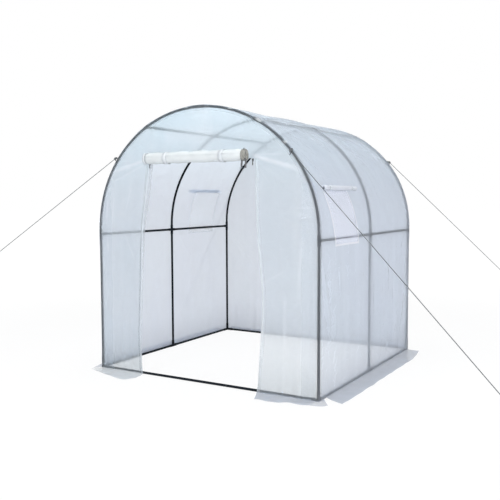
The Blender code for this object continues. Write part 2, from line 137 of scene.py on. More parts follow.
class Finish:
    """A procedural material, or a world's finish."""

    def __init__(self, name, library=bpy.data.materials, output="ShaderNodeOutputMaterial"):
        self.owner = library.new(name)
        self.owner.use_nodes = True
        self.tree = self.owner.node_tree
        self.tree.nodes.clear()
        self.output = self.tree.nodes.new(output)

    def node(self, kind, settings=None, values=None, out=0):
        """A node with its settings and its inputs, as one of its outputs. A colour is given
        as red, green and blue."""
        made = self.tree.nodes.new("ShaderNode" + kind)
        for key, value in (settings or {}).items():
            setattr(made, key, value)
        for key, value in (values or {}).items():
            socket = made.inputs[key]
            if isinstance(value, Wire):
                self.tree.links.new(value.socket, socket)
            else:
                socket.default_value = (*value, 1.0) if socket.type == "RGBA" else value
        return Wire(self, made.outputs[out])

    def place(self):
        return self.node("TexCoord", out="Object")

    def axis(self, name):
        """X, Y or Z of the surface, in metres."""
        return self.node("SeparateXYZ", {}, {"Vector": self.place()}, out=name)

    def length_of(self, vector):
        return self.node("VectorMath", {"operation": "LENGTH"}, {0: vector}, out="Value")

    def stretched(self, scale):
        """The surface's own coordinates, each times its scale."""
        return self.node("VectorMath", {"operation": "MULTIPLY"}, {0: self.place(), 1: scale})

    def noise(self, scale, detail=2.0, rough=0.5, at=None):
        return self.node("TexNoise", {}, {"Vector": at or self.place(), "Scale": scale,
                                          "Detail": detail, "Roughness": rough})

    def cells(self, scale, at):
        """The distance to the edge of a cell."""
        return self.node("TexVoronoi", {"feature": "DISTANCE_TO_EDGE"},
                         {"Vector": at, "Scale": scale}, out="Distance")

    def blend(self, factor, first, second):
        """One colour into another."""
        return self.node("Mix", {"data_type": "RGBA"}, {0: factor, 6: first, 7: second}, out=2)

    def near_line(self, x, z, start, end, width):
        """1 on the line from start to end in the x-z plane, fading beside it and at its ends."""
        (ax, az), (bx, bz) = start, end
        length = math.hypot(bx - ax, bz - az)
        dx, dz = (bx - ax) / length, (bz - az) / length
        aside = x * -dz + z * dx + (ax * dz - az * dx)
        along = x * dx + z * dz - (ax * dx + az * dz)
        beside = aside.math("ABSOLUTE").between(width, 0.0)
        return beside * along.between(-0.02, 0.03) * along.between(length, length * 0.5)

    def bump(self, height, depth, strength=1.0):
        return self.node("Bump", {}, {"Height": height, "Distance": depth,
                                      "Strength": strength})

    def mix(self, factor, first, second):
        """One shader into another."""
        return self.node("MixShader", {}, {0: factor, 1: first, 2: second})

    def surface(self, shader):
        self.tree.links.new(shader.socket, self.output.inputs["Surface"])
        return self.owner

    def principled(self, **values):
        """A Principled shader; an underscore stands for a space in a socket's name."""
        named = {key.replace("_", " "): value for key, value in values.items()}
        return self.node("BsdfPrincipled", {}, named)


def on_hoop_line(f, across, rise):
    """1 where the film lies on a hoop, and 0 inside it."""
    above = ((rise - SPRING) * (1 / RISE)).math("MAXIMUM", 0.0)
    place = f.node("CombineXYZ", {}, {"X": across * (1 / HALF_WIDTH), "Y": above})
    return f.length_of(place).between(0.975, 0.990)


def film_finish(name, body, shade, cover, through, haze=0.0, crumple=1.0, painted_light_right=0.0,
                streak_haze_and_sheen=0.06, fold_highlights=()):
    """Thin translucent film. cover is how much of it is solid, through how much light that
    falls on its far side it passes on, and haze how much of the solid blurs what is behind.
    painted_light_right lightens the right of it, a painted light as if more light fell there;
    streak_haze_and_sheen is how far its pale streaks and blotches show, partly the film's own haze
    and partly painted highlights; fold_highlights are painted highlights along its sharpest folds."""
    f = Finish(name)
    across, deep, rise = f.axis("X"), f.axis("Y"), f.axis("Z")
    drift = f.noise(1.3, 3.0)
    cloud = f.noise(7.0, 2.5, 0.5)
    wander = f.node("TexNoise", {}, {"Vector": f.place(), "Scale": 9.0}, out="Color")
    wander = f.node("VectorMath", {"operation": "SCALE"}, {0: wander, "Scale": 0.09})
    warped = f.node("VectorMath", {"operation": "ADD"}, {0: f.place(), 1: wander})
    crease = f.cells(11.0, warped).between(0.0, 0.10)
    fine = f.cells(34.0, warped).between(0.0, 0.14)
    streak = f.noise(5.0, 1.5, 0.5, f.stretched((1.0, 1.0, 0.10))).between(0.42, 0.70)
    blotch = f.noise(4.0, 5.0, 0.7).between(0.52, 0.72)
    near_ground = rise.between(0.34, 0.0)
    normal = f.bump(crease * 0.35 + fine * 0.08 + cloud * 0.7, 0.0016 * crumple, 0.9)

    tint = f.blend(drift.between(0.35, 0.7), body, shade)
    tint = f.blend(rise.between(1.25, 1.95) * 0.6, tint, (body[0] * 0.90, *body[1:]))
    tint = f.blend(near_ground, tint, [part * 0.82 for part in body])
    # Painted light: the right of the film is lightened, as if more light fell on it there.
    tint = f.blend(across.between(-0.5, 0.6) * painted_light_right, tint, (0.93, 0.95, 0.97))
    # Pale streaks and blotches: partly the film's own haze, partly painted highlights.
    tint = f.blend((streak * 0.6 + blotch * 0.5) * streak_haze_and_sheen, tint, (0.95, 0.965, 0.97))

    # Where the end walls lie on their hoop the film is clear, so the tube shows sharp.
    over_hoop = on_hoop_line(f, across, rise)
    milk = cover + (cloud - 0.5) * 0.14 + (1 - crease) * 0.015 + (streak - 0.5) * 0.08
    milk = milk + near_ground * 0.10 - over_hoop * deep.between(-0.895, -0.915) * 0.34
    dull = over_hoop * rise.between(0.075, 0.045) * 0.45       # blurs nothing behind it
    # Painted highlights along the sharpest folds; there the film also blurs less of what is
    # behind.
    for start, end, width, strength in fold_highlights:
        near = f.near_line(across, rise, start, end, width) * strength
        tint = f.blend(near, tint, (0.93, 0.96, 0.99))
        dull = dull + near * 0.5

    skin = {"Base_Color": tint, "Roughness": 0.80 + cloud * 0.12 if haze else 0.35,
            "Alpha": milk, "Normal": normal, "Coat_Weight": 0.5, "Coat_Roughness": 0.12,
            "IOR": 1.018 if haze else 1.45}
    front = f.principled(**skin)
    back = f.node("BsdfTranslucent", {}, {"Color": tint, "Normal": normal})
    if haze:
        front = f.mix(dull, f.principled(Transmission_Weight=haze, **skin), front)
        blurred = f.node("BsdfRefraction", {}, {"Color": tint, "Roughness": 0.75, "IOR": 1.14,
                                                "Normal": normal})
        back = f.mix(0.30, back, blurred)
    return f.surface(f.mix(through, front, back))


def woven_finish(name, colour, shade, pitch=0.0016, alpha=1.0):
    """Flat woven tape or webbing."""
    f = Finish(name)
    ribs = f.node("TexWave", {"bands_direction": "DIAGONAL"},
                  {"Vector": f.place(), "Scale": 0.35 / pitch, "Distortion": 0.6,
                   "Detail": 1.0}, out="Fac")
    dust = f.noise(30.0, 3.0)
    tint = f.blend(dust.between(0.35, 0.7) * 0.6 + ribs * 0.25, colour, shade)
    return f.surface(f.principled(Base_Color=tint, Roughness=0.75 - ribs * 0.1, Alpha=alpha,
                                  Normal=f.bump(ribs, 0.0003, 0.6)))


def steel_finish(name, colour, shade, rough, metal=0.0, scuff=(0.30, 0.31, 0.32),
                 gloss=0.5):
    """Coated or bare steel tube: a soft gloss, orange peel and a few rubbed places."""
    f = Finish(name)
    peel = f.noise(420.0, 2.0)
    drift = f.noise(6.0, 4.0, 0.6)
    rubbed = f.noise(70.0, 6.0, 0.7).between(0.68, 0.76)
    tint = f.blend(rubbed * 0.5, f.blend(drift, colour, shade), scuff)
    return f.surface(f.principled(Base_Color=tint, Roughness=rough + rubbed * 0.15 + drift * 0.1,
                                  Metallic=metal, Specular_IOR_Level=gloss,
                                  Normal=f.bump(peel, 0.0002, 0.35)))


def net_finish(name, tint, shade, solid):
    """Fine insect net."""
    f = Finish(name)
    mesh = 2 * math.pi / 0.0030
    warp, weft = ((f.axis(axis) * mesh).math("SINE").between(0.1, 0.6) for axis in "YZ")
    thread = warp.math("MAXIMUM", weft)
    return f.surface(f.principled(Base_Color=f.blend(thread, tint, shade), Roughness=0.7,
                                  Alpha=solid + thread * 0.36,
                                  Normal=f.bump(thread, 0.0004, 0.5)))


def seen_directly(f, through=1.0):
    """1 where the camera sees it, in a mirror or through glass too, and 0 for soft light.
    through is what is left of it behind glass."""
    camera, mirror, passed, spread, soft = (f.node("LightPath", out=kind) for kind in (
        "Is Camera Ray", "Is Glossy Ray", "Is Transmission Ray", "Is Diffuse Ray",
        "Diffuse Depth"))
    seen = camera.math("MAXIMUM", mirror).math("MAXIMUM", passed * through)
    return seen * (1 - spread) * (1 - soft.between(0.0, 1.0))


def floor_finish():
    """A white studio floor that keeps a soft shadow near the greenhouse."""
    f = Finish("studio_floor")
    share = seen_directly(f, 0.5) * (0.88 + f.length_of(f.place()).between(2.0, 6.0) * 0.12)
    dull = f.principled(Base_Color=(0.86, 0.87, 0.88), Roughness=0.9,
                        Specular_IOR_Level=0.1)
    glow = f.node("Emission", {}, {"Color": (1, 1, 1), "Strength": 1.02})
    return f.surface(f.mix(share, dull, glow))


# Painted highlights along the front film's sharpest folds: the start and end of each, its width
# and its strength.
FRONT_FOLD_HIGHLIGHTS = (((-0.30, 1.80), (0.30, 1.80), 0.10, 0.40),
               ((-0.49, 1.632), (-0.92, 1.520), 0.022, 0.80),
               ((-0.49, 1.60), (-0.84, 1.46), 0.014, 0.40),
               ((0.45, 1.640), (0.92, 1.510), 0.024, 0.95),
               ((0.45, 1.645), (0.80, 1.640), 0.012, 0.45),
               ((0.46, 1.60), (0.62, 1.40), 0.012, 0.35),
               ((-0.855, 1.345), (-0.885, 1.10), 0.016, 0.90),
               ((-0.872, 1.05), (-0.86, 0.90), 0.016, 0.80),
               ((-0.79, 1.36), (-0.84, 1.00), 0.010, 0.60),
               ((-0.62, 1.43), (-0.70, 1.20), 0.012, 0.50),
               ((-0.69, 1.08), (-0.57, 0.82), 0.014, 0.40),
               ((0.92, 1.284), (0.74, 1.283), 0.010, 1.00),
               ((0.88, 1.355), (0.78, 1.290), 0.010, 0.60),
               ((0.83, 1.10), (0.79, 0.60), 0.022, 0.60),
               ((0.70, 0.68), (0.694, 0.20), 0.022, 0.50),
               ((0.53, 0.77), (0.74, 0.88), 0.016, 0.40))
COVER_FILM = film_finish("cover_film", (0.785, 0.837, 0.94), (0.805, 0.865, 0.95),
                         0.84, 0.46, haze=0.62, painted_light_right=0.2)
FRONT_FILM = film_finish("front_film", (0.80, 0.86, 0.895), (0.84, 0.88, 0.91),
                         0.80, 0.46, haze=0.68, painted_light_right=0.2, streak_haze_and_sheen=0.5, fold_highlights=FRONT_FOLD_HIGHLIGHTS)
HEM_FILM = film_finish("hem_film", (0.78, 0.84, 0.91), (0.84, 0.88, 0.93),
                       0.12, 0.12, haze=0.5)
# The flaps' film is darker, a painted shade of the floor under it; the front left flap's paler
# copy is painted light over the shadow that falls on it.
PAINTED_SHADE_GROUND_FILM = film_finish("painted_shade_ground_film", (0.62, 0.68, 0.79), (0.69, 0.74, 0.84),
                          0.62, 0.25)
PAINTED_LIGHT_GROUND_FILM = film_finish("painted_light_ground_film", (0.90, 0.95, 0.99), (0.93, 0.97, 1.0),
                          0.62, 0.25)
DOOR_FILM = film_finish("door_film", (0.83, 0.84, 0.855), (0.87, 0.88, 0.89),
                        0.95, 0.15, crumple=0.7)
FLAP_FILM = film_finish("window_flap_film", (0.86, 0.88, 0.95), (0.92, 0.93, 0.97),
                        0.80, 0.20, crumple=0.7)
# A clearer, paler copy of the flap film for the left roll: painted light where that roll lies in
# shade.
CLEAR_PAINTED_LIGHT_FLAP = film_finish("clear_painted_light_flap_film", (0.90, 0.92, 0.96), (0.94, 0.95, 0.98),
                         0.10, 0.40, crumple=0.7)
WELT = film_finish("welt", (0.88, 0.92, 0.95), (0.92, 0.94, 0.96), 0.50, 0.22, haze=0.4)
# Grey zip tape, partly its own colour and partly painted shade of the door's curled edge.
ZIP_TAPE_AND_SHADE = woven_finish("zip_tape_and_shade", (0.46, 0.50, 0.54), (0.38, 0.42, 0.46), alpha=0.42)
ZIP_TEETH = steel_finish("zip_teeth", (0.22, 0.24, 0.27), (0.16, 0.18, 0.20), 0.45)
SLIDER = steel_finish("zip_slider", (0.05, 0.05, 0.055), (0.03, 0.03, 0.035), 0.35)
HEM_TAPE = film_finish("hem_tape", (0.95, 0.955, 0.99), (0.97, 0.975, 1.0), 0.85, 0.18)
WEBBING = woven_finish("tie_webbing", (0.42, 0.415, 0.38), (0.20, 0.20, 0.18))
DARK_WEBBING = woven_finish("tie_tail_webbing", (0.14, 0.145, 0.15), (0.09, 0.09, 0.10))
STRAP = woven_finish("strap_webbing", (0.74, 0.77, 0.80), (0.56, 0.60, 0.64))
THREAD = woven_finish("thread", (0.88, 0.90, 0.92), (0.78, 0.81, 0.84), 0.0006,
                      alpha=0.45)
ROPE = woven_finish("rope_fibre", (0.16, 0.17, 0.18), (0.09, 0.10, 0.11), 0.0008)
TUBE_STEEL = steel_finish("coated_tube", (0.004, 0.007, 0.011), (0.007, 0.011, 0.016), 0.40,
                          scuff=(0.03, 0.03, 0.035), gloss=0.09)
JOINT_STEEL = steel_finish("joint_sleeve", (0.003, 0.005, 0.008), (0.006, 0.009, 0.013),
                           0.46, scuff=(0.03, 0.03, 0.035), gloss=0.09)
PEG_STEEL = steel_finish("peg_steel", (0.42, 0.43, 0.44), (0.30, 0.31, 0.33), 0.32, 1.0,
                         (0.20, 0.17, 0.15))
NET = {"right": net_finish("window_net", (0.70, 0.74, 0.87), (0.76, 0.79, 0.92), 0.40),
       "left": net_finish("window_net_left", (0.74, 0.79, 0.86), (0.79, 0.83, 0.90), 0.45)}
FAINT_HEM = film_finish("faint_hem", (0.90, 0.92, 0.97), (0.94, 0.95, 0.98), 0.05, 0.10,
                        haze=0.5)


# ---------------------------------------------------------------- forms

def put(name, data):
    """A new object in the scene."""
    item = bpy.data.objects.new(name, data)
    bpy.context.scene.collection.objects.link(item)
    return item


def add_mesh(name, points, faces, finish, smooth=True):
    data = bpy.data.meshes.new(name)
    data.from_pydata(np.reshape(points, (-1, 3)).tolist(), [],
                     faces if isinstance(faces, list) else faces.tolist())
    data.polygons.foreach_set("use_smooth", [smooth] * len(data.polygons))
    data.materials.append(finish)
    data.update()
    return put(name, data)


def add_piece(name, points, faces, finish, smooth=True):
    """A mesh that rides on the frame."""
    item = add_mesh(name, points, faces, finish, smooth)
    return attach(item, "root")


def lattice(rows, columns, keep=None, closed=False):
    """Faces of a grid of rows by columns points; keep is a mask of the faces that stay."""
    across = columns if closed else columns - 1
    row, column = np.meshgrid(np.arange(rows - 1), np.arange(across), indexing="ij")
    right = (column + 1) % columns
    faces = np.stack([row * columns + column, row * columns + right,
                      (row + 1) * columns + right, (row + 1) * columns + column], -1)
    return faces[keep] if keep is not None else faces.reshape(-1, 4)


def used_points(points, faces):
    """Drops the points that no face uses."""
    kept, again = np.unique(faces, return_inverse=True)
    return points.reshape(-1, 3)[kept], again.reshape(faces.shape)


def add_tube(name, rings, finish, smooth=True):
    """A closed tube through rings of points, with both of its ends filled."""
    rows, columns = rings.shape[:2]
    first, last = range(columns), range((rows - 1) * columns, rows * columns)
    faces = lattice(rows, columns, closed=True).tolist() + [list(first)[::-1], list(last)]
    return add_piece(name, rings, faces, finish, smooth)


def unit(vectors):
    """One vector, or each row of many, made 1 long."""
    return vectors / np.linalg.norm(vectors, axis=-1, keepdims=True)


def crosswise(along):
    """Two directions square to a line and to each other."""
    side = np.array(Vector(along).orthogonal().normalized())
    return side, np.cross(along, side)


def about_line(reach, turn, side, up):
    """Where points at a distance and a turn round a line lie, from its middle."""
    return (reach * np.cos(turn))[..., None] * side + (reach * np.sin(turn))[..., None] * up


def stops(breaks, step=STEP):
    """Values from the first break to the last, about step apart, with every break among them."""
    breaks = sorted(set(breaks))
    runs = [np.linspace(a, b, max(1, round((b - a) / step)), endpoint=False)
            for a, b in zip(breaks, breaks[1:])]
    return np.concatenate(runs + [[breaks[-1]]])


def ripples(x, y, size, seed, stretch=1.0):
    """A smooth random field of about unit height, whose waves are about size long."""
    dice = np.random.default_rng(seed)
    total = np.zeros(np.broadcast(x, y).shape)
    for _ in range(16):
        turn, phase = dice.uniform(0, math.pi), dice.uniform(0, 2 * math.pi)
        rate = 2 * math.pi / (size * dice.uniform(0.7, 1.6))
        total += np.sin(rate * (x * math.cos(turn) + y * math.sin(turn) * stretch) + phase)
    return total / math.sqrt(8)


def crumples(x, y, size, seed, stretch=1.0):
    """Facets that meet in creases, about size wide."""
    return 0.8 - np.abs(ripples(x, y, size * 2.4, seed, stretch))


def fold(x, y, start, end, width, height):
    """One soft fold along the line from start to end, fading at both."""
    (ax, ay), (bx, by) = start, end
    dx, dy = bx - ax, by - ay
    length = math.hypot(dx, dy)
    along = ((x - ax) * dx + (y - ay) * dy) / length ** 2
    aside = ((x - ax) * dy - (y - ay) * dx) / length
    fade = np.clip(4 * along * (1 - along), 0, 1) ** 0.6
    return height * fade * np.exp(-(aside / width) ** 2)


def folds(x, y, marks):
    """Soft folds together, each given by its start, end, width and height."""
    return sum(fold(x, y, *mark) for mark in marks)


def eased(share):
    """0 to 1 with a smooth start and end."""
    share = np.clip(share, 0, 1)
    return share * share * (3 - 2 * share)


# The cover's cross-section, measured along the film from the crown.
ANGLES = np.linspace(math.pi / 2, 0, 900)
TILT = unit(np.stack([np.cos(ANGLES) / HALF_WIDTH, np.sin(ANGLES) / RISE], 1))
ARCH = np.stack([HALF_WIDTH * np.cos(ANGLES), SPRING + RISE * np.sin(ANGLES)], 1) + FILM * TILT
RUN = np.concatenate([[0], np.cumsum(np.linalg.norm(np.diff(ARCH, axis=0), axis=1))])
QUARTER = RUN[-1]
FOOT = QUARTER + SPRING - FOOT_Z


def section(run):
    """(x, z, outward x, outward z) of the cover's section; run is positive on the right."""
    length, side = np.abs(run), np.sign(run)
    x = np.interp(length, RUN, ARCH[:, 0])
    z = np.interp(length, RUN, ARCH[:, 1]) - np.maximum(length - QUARTER, 0)
    return (side * x, z, side * np.interp(length, RUN, TILT[:, 0]),
            np.interp(length, RUN, TILT[:, 1]))


def hoop_line(run):
    """(x, z) of a hoop's middle line."""
    x, z, nx, nz = section(run)
    return x - nx * FILM, z - nz * FILM


def run_at(height):
    """The run at which the section is this high."""
    if height <= SPRING:
        return QUARTER + SPRING - height
    return float(np.interp(-height, -ARCH[:, 1], RUN))


def window_box(side_name):
    """(near y, far y, sill run, head run) of a window's opening."""
    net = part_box(f"window_net_{side_name}")
    return (net[0].y + NET_MARGIN, net[1].y - NET_MARGIN,
            run_at(net[0].z + NET_MARGIN), run_at(low(f"window_flap_{side_name}").z + HEAD_RISE))


# The purlins, the side rails and the base rails, which lie under the film.
TUBE_RUNS = run_at(PURLIN_Z + FILM * 0.9), run_at(RAIL_Z), run_at(0.0125)
JOINT_RUNS = (0.0,) + TUBE_RUNS
WRAP = FILM * np.array([0.4, 0.8, 1.2, math.pi / 2])     # round the end hoops


def nearest(value, places):
    """The distance to the nearest of some places."""
    return np.min([np.abs(value - place) for place in places], axis=0)


def over_joint(distance):
    """1 on a socket, down to 0 clear of it."""
    return eased((0.13 - distance) / 0.075)


# ---------------------------------------------------------------- the cover

SIDE_FOLDS = (((-0.90, 1.70), (-0.62, 1.42), 0.016, 0.006),
              ((0.04, 1.12), (0.40, 0.70), 0.014, 0.004),
              ((0.88, 1.15), (0.50, 0.78), 0.013, 0.004))
RIGHT_FOLDS = (((-0.925, 1.08), (-0.77, 0.46), 0.011, 0.008),
               ((-0.91, 0.98), (-0.82, 0.55), 0.010, 0.006),
               ((-0.62, 0.98), (-0.60, 0.50), 0.014, 0.004))


def side_folds(y, length, marks):
    """Soft folds on the cover, whose ends are given by their y and their height."""
    return folds(y, length, [((start, run_at(top)), (end, run_at(bottom)), width, height)
                             for (start, top), (end, bottom), width, height in marks])


def cover_height(y, run):
    """How far the film stands off its plain section: slack in the bays, folds and creases."""
    length = np.abs(run)
    bay = np.abs(np.abs(y) / HALF_DEPTH - 0.5) * 2          # 0 in mid-bay, 1 at a hoop
    belly = np.clip(1 - bay ** 2, 0, 1)
    roof = np.clip((QUARTER + 0.1 - length) / 0.4, 0, 1)
    wall = np.clip((length - QUARTER) / 0.3, 0, 1)
    rise = -(0.002 + 0.003 * roof) * belly
    rise = rise + 0.0018 * ripples(y, run, 0.42, 3) * (0.3 + 0.7 * belly)
    rise = rise + 0.0010 * crumples(y, run, 0.17, 11)
    rise = rise + 0.0001 * crumples(y, run, 0.06, 12)
    rise = rise + 0.0013 * ripples(y, run, 0.13, 15, 0.25) * wall      # hanging folds
    rise = rise + (run > 0) * side_folds(y, length, RIGHT_FOLDS)
    rise = rise + side_folds(y, length, SIDE_FOLDS)
    # Never into a tube: the film rests on hoops, rails and purlins.
    hoop_gap = nearest(y, HOOPS.values())
    gap = np.minimum(hoop_gap, nearest(length, TUBE_RUNS))
    from_end = HALF_DEPTH - np.abs(y)
    rise = rise * (0.15 + 0.85 * eased(gap / 0.05)) * eased(from_end / 0.05)
    rise = np.maximum(rise, -0.0003 - 0.20 * np.maximum(gap - 0.012, 0))
    rail, base = TUBE_RUNS[1:]
    bow = np.clip((length - rail) / (base - rail), 0, 1)          # out between rail and base
    bow = 0.014 * (4 * bow * (1 - bow)) ** 1.5 * eased(from_end / 0.25)
    return rise + bow + BULGE * over_joint(np.hypot(hoop_gap, nearest(length, JOINT_RUNS)))


def leaning(y, run, z):
    """How far the sewn-in windows lean away from the mid hoop towards their tops."""
    beside = eased((np.abs(y) - 0.02) / 0.20) * eased((0.90 - np.abs(y)) / 0.12)
    own = (y * run < 0) * np.sign(y)
    slope = np.where(run > 0, LEAN[1], LEAN[0])
    return own * beside * slope * np.interp(z, (1.05, 1.42, 1.46, 1.78), (0, 0.37, 0.37, 0))


def on_cover(y, run, lift=0.0):
    """Points on the cover. Beyond the last hoops y goes on round the tube."""
    x, z, nx, nz = section(run)
    y = y + leaning(y, run, z)
    reach = FILM + cover_height(y, run) + lift
    turn = np.clip((np.abs(y) - HALF_DEPTH) / FILM, 0, math.pi / 2)
    out = reach * np.cos(turn) - FILM
    along = np.clip(y, -HALF_DEPTH, HALF_DEPTH) + np.sign(y) * reach * np.sin(turn)
    return np.stack([x + nx * out, along + 0 * x, z + nz * out], -1)


def lay_on_cover(name, ys, runs, lift, flat, finish):
    """A small sheet on the cover, or under it where lift is below 0."""
    y, run = np.meshgrid(ys, runs)
    item = add_piece(name, on_cover(y, run, lift), lattice(*y.shape), finish)
    return item


def build_cover():
    """One sheet from foot to foot over the hoops, with the two windows cut out."""
    y_breaks, run_breaks = [-HALF_DEPTH, 0.0, HALF_DEPTH], [-FOOT, -QUARTER, 0.0, QUARTER, FOOT]
    for name, side in SIDES.items():
        start, end, sill, head = window_box(name)
        y_breaks += [start, end]
        run_breaks += [side * sill, side * head]
    ys, runs = stops(y_breaks), stops(run_breaks)
    ys = np.concatenate([-HALF_DEPTH - WRAP[::-1], ys, HALF_DEPTH + WRAP])
    y_mid, run_mid = np.meshgrid((ys[1:] + ys[:-1]) / 2, (runs[1:] + runs[:-1]) / 2)
    keep = np.ones(y_mid.shape, bool)
    for name, side in SIDES.items():
        start, end, sill, head = window_box(name)
        inside = (y_mid > start) & (y_mid < end)
        keep &= ~(inside & (run_mid * side > head) & (run_mid * side < sill))
    points, faces = used_points(on_cover(*np.meshgrid(ys, runs)),
                                lattice(len(runs), len(ys), keep))
    cover = add_piece("cover", points, faces, COVER_FILM)
    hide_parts("roof_crown", "roof_left", "roof_right", "side_wall_left",
                "side_wall_right")


# ---------------------------------------------------------------- end walls

# The doorway's edges, as heights and the x at each.
LEFT_EDGE = ((0.0, -0.531), (0.20, -0.536), (0.42, -0.539), (0.73, -0.529), (0.96, -0.519),
             (1.11, -0.508), (1.26, -0.487), (1.41, -0.464), (DOOR_TOP, -0.436))
RIGHT_EDGE = ((0.0, 0.479), (0.10, 0.490), (0.305, 0.517), (0.515, 0.530), (0.72, 0.522),
              (0.89, 0.504), (1.06, 0.487), (1.27, 0.480), (1.47, 0.474), (DOOR_TOP, 0.472))
ZIP_ROWS = np.arange(0.008, DOOR_TOP - 0.002, 0.006)


def smooth_line(marks, z):
    """A smooth curve through a few marks."""
    heights, values = zip(*marks)
    fine = np.linspace(heights[0], heights[-1], 80)
    drawn = np.interp(fine, heights, values)
    for _ in range(12):
        drawn[1:-1] = (drawn[:-2] + 2 * drawn[1:-1] + drawn[2:]) / 4
    return np.interp(z, fine, drawn)


def end_height(x, z, seed):
    """Slack and creases that both end walls have."""
    rise = 0.0020 * ripples(x, z, 0.45, seed)
    rise = rise + 0.0016 * crumples(x, z, 0.15, seed + 1, 0.7)
    return rise + 0.0007 * crumples(x, z, 0.055, seed + 2)


def on_hoop(x, z, rise):
    """An end wall's standing off its plane, laid on the hoop, the base rail and the joints."""
    share = np.where(z > SPRING, np.hypot(x / HALF_WIDTH, (z - SPRING) / RISE),
                     np.abs(x) / HALF_WIDTH)
    hoop = (1 - share) * HOOP_REACH
    rise = rise * eased((hoop - 0.006) / 0.05)
    rise = np.maximum(rise, -0.0003 - 0.22 * np.maximum(np.minimum(hoop, z - 0.012) - 0.016, 0))
    joints = ((0, SPRING + RISE), (PURLIN_X, PURLIN_Z), (HALF_WIDTH, RAIL_Z), (HALF_WIDTH, 0.012))
    distance = np.min([np.hypot(np.abs(x) - a, z - b) for a, b in joints], axis=0)
    return rise + BULGE * over_joint(distance)


FRONT_CREASES = (((-0.50, 1.605), (-0.80, 1.590), 0.016, 0.009),
                 ((-0.49, 1.60), (-0.85, 1.46), 0.020, 0.005),
                 ((0.43, 1.630), (0.82, 1.515), 0.016, 0.010),
                 ((0.43, 1.64), (0.72, 1.66), 0.014, 0.006),
                 ((0.44, 1.60), (0.86, 1.34), 0.020, 0.004),
                 ((-0.45, 1.66), (-0.62, 1.82), 0.016, 0.004),
                 ((0.60, 1.28), (0.93, 1.20), 0.012, 0.005),
                 ((0.66, 1.21), (0.94, 1.23), 0.010, 0.004))
BACK_CREASES = (((0.90, 0.95), (0.55, 0.45), 0.015, 0.006),
                ((-0.90, 1.0), (-0.5, 0.5), 0.015, 0.005),
                ((0.2, 0.75), (0.35, 0.40), 0.012, 0.005),
                ((0.9, 0.1), (0.5, 0.35), 0.015, 0.005))


def front_height(x, z):
    """How far the front film stands forward of its plane."""
    hanging = np.clip((1.55 - z) / 1.3, 0, 1)
    rise = end_height(x, z, 21)
    rise = rise + 0.0050 * ripples(x, z, 0.085, 31, 0.10) * hanging * (np.abs(x) > 0.3)
    left_free = np.exp(-((x + 0.49) / 0.05) ** 2) * hanging
    right_free = np.exp(-((x - 0.51) / 0.06) ** 2) * hanging
    rise = rise + 0.010 * left_free * np.sin(z * 5.0 + 0.6) + 0.008 * left_free
    rise = rise + 0.014 * right_free * np.sin(z * 6.1 - 0.4) + 0.006 * right_free
    return on_hoop(x, z, rise + folds(x, z, FRONT_CREASES))


def on_front(x, z, lift=0.0):
    """Points on the front film, or this far in front of it."""
    return np.stack([x + 0 * z, FRONT - front_height(x, z) - lift, z + 0 * x], -1)


def build_front():
    """The front film, with the doorway left open below the rolled door."""
    door_run = float(np.interp(-DOOR_TOP, -hoop_line(RUN)[1], RUN))
    runs = stops([CROWN_GAP, door_run, QUARTER, FOOT])[::-1]
    x_out, z = hoop_line(runs)
    above = runs < door_run + 1e-6
    top_span = float(hoop_line(door_run)[0])
    left, right = (np.where(above, edge[-1][1] * x_out / top_span, smooth_line(edge, z))
                   for edge in (LEFT_EDGE, RIGHT_EDGE))
    sides, door = round(0.48 / 0.011), round(0.92 / STEP)
    share = np.concatenate([np.linspace(0, 1, sides, endpoint=False),
                            1 + np.linspace(0, 1, door, endpoint=False),
                            2 + np.linspace(0, 1, sides + 1)])
    x = np.array([np.interp(share, (0, 1, 2, 3), row)
                  for row in zip(-x_out, left, right, x_out)])
    doorway = (share[:-1] >= 1) & (share[:-1] < 2)
    points, faces = used_points(on_front(x, np.repeat(z[:, None], len(share), 1)),
                                lattice(*x.shape, above[:-1, None] | ~doorway))
    front = add_piece("front_cover", points, faces, FRONT_FILM)
    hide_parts("front_gable", "front_wall_left", "front_wall_right")


def build_back():
    """The back film, which is whole."""
    x_out, z = hoop_line(stops([CROWN_GAP, QUARTER, FOOT])[::-1])
    share = np.linspace(-1, 1, round(1.9 / STEP))
    x, z = x_out[:, None] * share, np.repeat(z[:, None], len(share), 1)
    rise = end_height(x, z, 51)
    rise = rise + 0.003 * ripples(x, z, 0.10, 55, 0.2) * np.clip((1.3 - z) / 1.0, 0, 1)
    rise = rise + folds(x, z, BACK_CREASES)
    back = add_piece("back_cover", np.stack([x, BACK + on_hoop(x, z, rise), z], -1),
                     lattice(*x.shape)[:, ::-1], COVER_FILM)
    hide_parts("back_wall")


def strip(name, rows, finish, flip=False):
    """A band from rows of points, each row the same length."""
    rows = np.stack(rows, 1)
    faces = lattice(*rows.shape[:2])
    return add_piece(name, rows, faces[:, ::-1] if flip else faces, finish)


def on_hem(run, inset, lift):
    """A point on the front film, this far in from the outer edge of the front hem."""
    x, z, nx, nz = section(run)
    inset = HEM_START + inset
    return on_front(x - nx * inset, z - nz * inset, lift)


def hem_width(run):
    """The front hem is broad along the legs and narrow over the arch."""
    return 0.018 + 0.093 * eased((np.abs(run) - 0.95) / 0.45)


def build_front_hem():
    """The doubled film along the front hoop, from foot to foot, sewn down along its edge."""
    runs = stops([-FOOT, -QUARTER, 0.0, QUARTER, FOOT], 0.012)
    hem = strip("front_hem", [on_hem(runs, share * hem_width(runs), 0.0010)
                              for share in np.linspace(0, 1, 6)], HEM_FILM)
    sew_along("front_hem_seam", lambda run: on_hem(run, hem_width(run) - 0.003, 0.0014),
              np.arange(-FOOT + 0.02, FOOT - 0.02, STITCH_STEP))


def sew_along(name, at, places):
    """A row of stitches where at(places) lies."""
    centres = at(places)
    along = unit(at(places + 0.001) - centres)
    outward = np.cross(along, (0.0, 0.0, 1.0))
    upright = np.linalg.norm(outward, axis=1) < 0.3
    outward[upright] = np.cross(along[upright], (1.0, 0.0, 0.0))
    box_run(name, centres, along, np.cross(along, unit(outward)), STITCH, THREAD)


